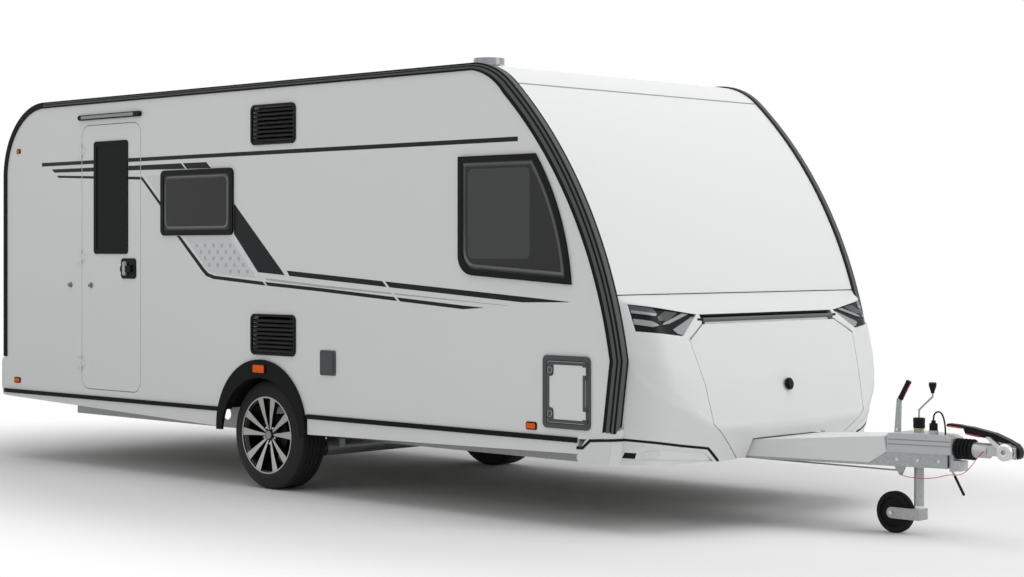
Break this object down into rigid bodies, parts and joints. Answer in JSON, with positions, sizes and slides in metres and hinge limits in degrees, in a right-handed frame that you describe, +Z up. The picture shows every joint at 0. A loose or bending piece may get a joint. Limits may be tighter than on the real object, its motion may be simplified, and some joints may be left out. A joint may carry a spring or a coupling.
{
  "type": "travel caravan",
  "caption": "White single-axle touring caravan with bowed front, side door, nose locker lid, corner steadies, drawbar with ball coupling and a swivelling jockey wheel.",
  "frame": {"origin": "on the ground, midway along the overall length, on the centre plane of the body", "axes": "+X forward to the coupling, +Y to the left, away from the entrance door, +Z up"},
  "size_m": [7.73, 2.358, 2.672],
  "materials": {
    "shell_white": "gloss paint on sandwich panel",
    "floor_board": "plain board",
    "trim_black": "satin moulded",
    "frame_black": "satin moulded",
    "acrylic": "tinted acrylic",
    "blind": "pleated",
    "zinc_steel": "hot dip galvanised",
    "cast_grey": "grey paint",
    "black_steel": "black paint",
    "grey_plastic": "satin moulded",
    "rubber_black": "matt",
    "tyre_rubber": "matt",
    "alloy": "silver lacquer",
    "lamp_red": "clear red",
    "lamp_amber": "clear amber",
    "lamp_dark": "gloss dark",
    "shock_red": "paint",
    "cable_red": "sheathed wire"
  },
  "bodies": {
    "caravan": {"floor_panel": "floor_board", "side_wall_right": "shell_white", "side_wall_left": "shell_white", "roof_panel": "shell_white", "front_panel": "shell_white", "rear_panel": "shell_white", "nose_moulding": "shell_white", "locker_partition": "floor_board", "corner_fairings": "shell_white", "edge_trims": "trim_black", "skirts": "shell_white", "floor_mouldings": "trim_black", "rear_bumper": "shell_white", "rear_lamps": "lamp_red", "wheel_arches": "trim_black", "wheel_boxes": "grey_plastic", "window_frames": "frame_black", "window_panes": "acrylic", "window_blinds": "blind", "vent_grilles": "frame_black", "hatch_frames": "grey_plastic", "door_hinges": "shell_white", "roof_hatches": "grey_plastic", "marker_lamps": "lamp_amber", "nose_lamps": "lamp_dark", "chassis_rails": "zinc_steel", "cross_beams": "zinc_steel", "drawbar_legs": "zinc_steel", "drawbar_cover": "shell_white", "axle": "zinc_steel", "swing_arms": "black_steel", "shock_absorbers": "shock_red", "overrun_housing": "grey_plastic", "bellows": "rubber_black", "coupling_head": "cast_grey", "coupling_handle": "frame_black", "brake_lever": "black_steel", "jockey_tube": "zinc_steel", "steady_brackets": "zinc_steel", "plug": "rubber_black", "plug_cable": "rubber_black", "breakaway_cable": "cable_red"},
    "entrance_door": {"entrance_door": "shell_white", "door_window": "acrylic", "door_handle": "frame_black"},
    "locker_lid": {"locker_lid": "shell_white", "lid_lock": "frame_black"},
    "service_hatch": {"service_hatch": "shell_white"},
    "toilet_door": {"toilet_door": "shell_white"},
    "steady_front_right": {"steady_front_right": "zinc_steel"},
    "steady_front_left": {"steady_front_left": "zinc_steel"},
    "steady_rear_right": {"steady_rear_right": "zinc_steel"},
    "steady_rear_left": {"steady_rear_left": "zinc_steel"},
    "wheel_right": {"tyre_right": "tyre_rubber", "rim_right": "alloy"},
    "wheel_left": {"tyre_left": "tyre_rubber", "rim_left": "alloy"},
    "jockey_leg": {"jockey_leg": "zinc_steel"},
    "jockey_fork": {"jockey_fork": "zinc_steel"},
    "jockey_wheel": {"jockey_wheel": "rubber_black"}
  },
  "joints": [
    {"name": "door_swing", "type": "hinge", "parent": "caravan", "child": "entrance_door", "pos_m": [-2.835, -1.16, 1.4725], "axis": [0, 0, -1], "range_deg": [0, 165]},
    {"name": "lid_lift", "type": "hinge", "parent": "caravan", "child": "locker_lid", "pos_m": [2.267, 0, 1.14], "axis": [0, -1, 0], "range_deg": [0, 80]},
    {"name": "hatch_swing", "type": "hinge", "parent": "caravan", "child": "service_hatch", "pos_m": [1.915, -1.1685, 0.7465], "axis": [0, 0, 1], "range_deg": [0, 120]},
    {"name": "toilet_door_swing", "type": "hinge", "parent": "caravan", "child": "toilet_door", "pos_m": [-2.811, 1.1685, 0.8], "axis": [0, 0, -1], "range_deg": [0, 120]},
    {"name": "steady_front_right_drop", "type": "hinge", "parent": "caravan", "child": "steady_front_right", "pos_m": [1.085, -0.795, 0.438], "axis": [0, 1, 0], "range_deg": [0, 50]},
    {"name": "steady_front_left_drop", "type": "hinge", "parent": "caravan", "child": "steady_front_left", "pos_m": [1.085, 0.795, 0.438], "axis": [0, 1, 0], "range_deg": [0, 50]},
    {"name": "steady_rear_right_drop", "type": "hinge", "parent": "caravan", "child": "steady_rear_right", "pos_m": [-2.775, -0.795, 0.438], "axis": [0, -1, 0], "range_deg": [0, 50]},
    {"name": "steady_rear_left_drop", "type": "hinge", "parent": "caravan", "child": "steady_rear_left", "pos_m": [-2.775, 0.795, 0.438], "axis": [0, -1, 0], "range_deg": [0, 50]},
    {"name": "wheel_right_spin", "type": "hinge", "parent": "caravan", "child": "wheel_right", "pos_m": [-0.845, -0.9955, 0.345], "axis": [0, 1, 0], "continuous": true},
    {"name": "wheel_left_spin", "type": "hinge", "parent": "caravan", "child": "wheel_left", "pos_m": [-0.845, 0.9955, 0.345], "axis": [0, 1, 0], "continuous": true},
    {"name": "jockey_height", "type": "slide", "parent": "caravan", "child": "jockey_leg", "axis": [0, 0, -1], "range_m": [0, 0.2]},
    {"name": "jockey_swivel", "type": "hinge", "parent": "jockey_leg", "child": "jockey_fork", "pos_m": [3.255, 0, 0.18], "axis": [0, 0, 1], "continuous": true},
    {"name": "jockey_spin", "type": "hinge", "parent": "jockey_fork", "child": "jockey_wheel", "pos_m": [3.109, 0, 0.112], "axis": [0, 1, 0], "continuous": true}
  ]
}
